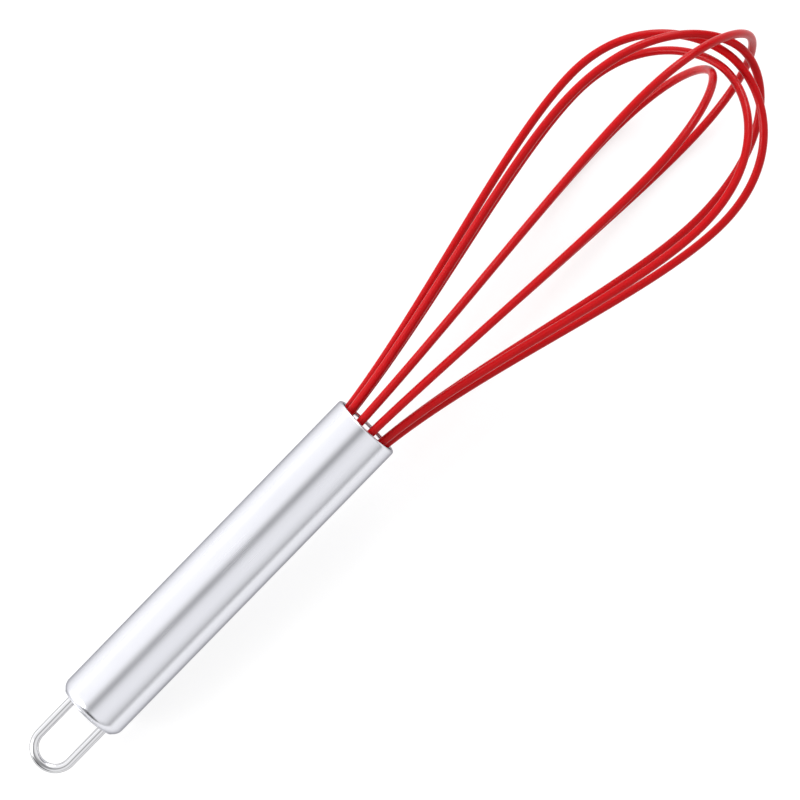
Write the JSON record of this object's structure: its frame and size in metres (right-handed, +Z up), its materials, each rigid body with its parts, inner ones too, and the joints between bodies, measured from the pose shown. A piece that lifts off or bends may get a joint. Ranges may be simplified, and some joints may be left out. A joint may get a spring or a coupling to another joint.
{
  "type": "balloon whisk",
  "caption": "Hand whisk: silicone-sleeved wire loops crossing in a balloon, held in a tubular steel handle with a wire hanging loop at its tail.",
  "frame": {"origin": "middle of the bounding box's base, on the worktop that the whisk lies on", "axes": "+X from the hanging loop towards the balloon's tip, level; +Z up from the worktop; the handle's axis rises 5.2 degrees towards the balloon"},
  "size_m": [0.3046, 0.0654, 0.0654],
  "materials": {
    "brushed_steel": "satin, fine grain along the handle",
    "polished_steel": "polished wire",
    "pressed_steel": "pressed sheet, plain",
    "spring_wire": "drawn spring wire",
    "potting_resin": "cast resin",
    "red_silicone": "moulded silicone, soft satin"
  },
  "bodies": {
    "root": {"handle_tube": "brushed_steel", "tail_cap": "brushed_steel", "hanging_loop": "polished_steel", "loop_anchor_plate": "pressed_steel", "mouth_insert": "pressed_steel", "potting_plug": "potting_resin", "core_wire_1": "spring_wire", "core_wire_2": "spring_wire", "core_wire_3": "spring_wire", "core_wire_4": "spring_wire", "core_wire_5": "spring_wire", "silicone_sleeve_1": "red_silicone", "silicone_sleeve_2": "red_silicone", "silicone_sleeve_3": "red_silicone", "silicone_sleeve_4": "red_silicone", "silicone_sleeve_5": "red_silicone"}
  },
  "joints": []
}
